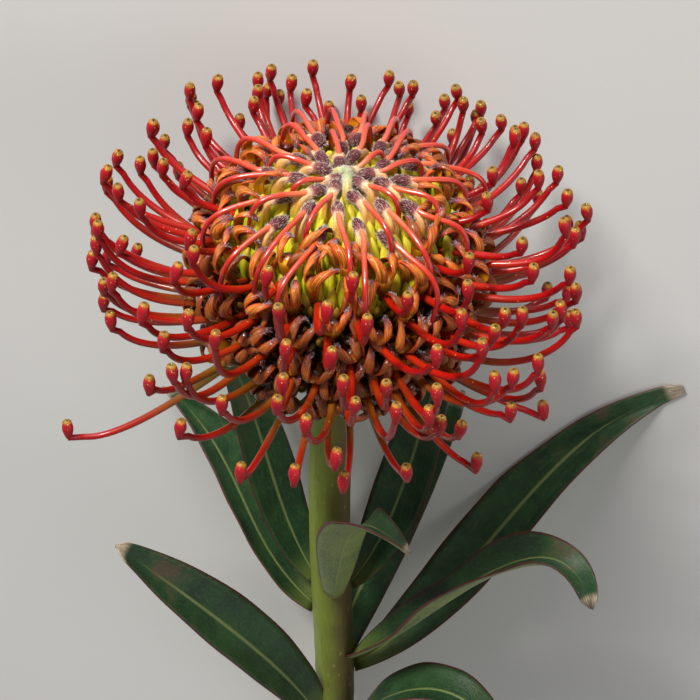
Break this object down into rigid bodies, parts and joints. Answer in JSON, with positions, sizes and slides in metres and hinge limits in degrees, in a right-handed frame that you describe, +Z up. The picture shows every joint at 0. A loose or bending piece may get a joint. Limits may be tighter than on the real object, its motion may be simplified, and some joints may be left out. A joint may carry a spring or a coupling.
{
  "type": "pincushion protea flower",
  "caption": "Pincushion protea flower with a domed head of looped and free styles, a cut stem and long leaves, picked and laid on its back.",
  "frame": {"origin": "centre of the bottom of the bounding box, on the table that the flower lies on", "axes": "+Z up from the table; the bloom is towards -Y and the cut end of the stem towards +Y; the side that faced the camera is up, and the picture's right is -X"},
  "size_m": [0.1342, 0.2066, 0.0998],
  "materials": {
    "bloom": "glossy coral red styles over orange and yellow perianths",
    "bracts": "matte green with brown tips",
    "stem": "satin yellow-green, brownish on one side",
    "leaf": "satin dark green with a thin purple-red margin"
  },
  "bodies": {
    "root": {"flower_head": "bloom", "involucre": "bracts", "stem": "stem", "leaf_01": "leaf", "leaf_02": "leaf", "leaf_03": "leaf", "leaf_04": "leaf", "leaf_05": "leaf", "leaf_06": "leaf", "leaf_07": "leaf", "leaf_08": "leaf", "leaf_09": "leaf"}
  },
  "joints": []
}
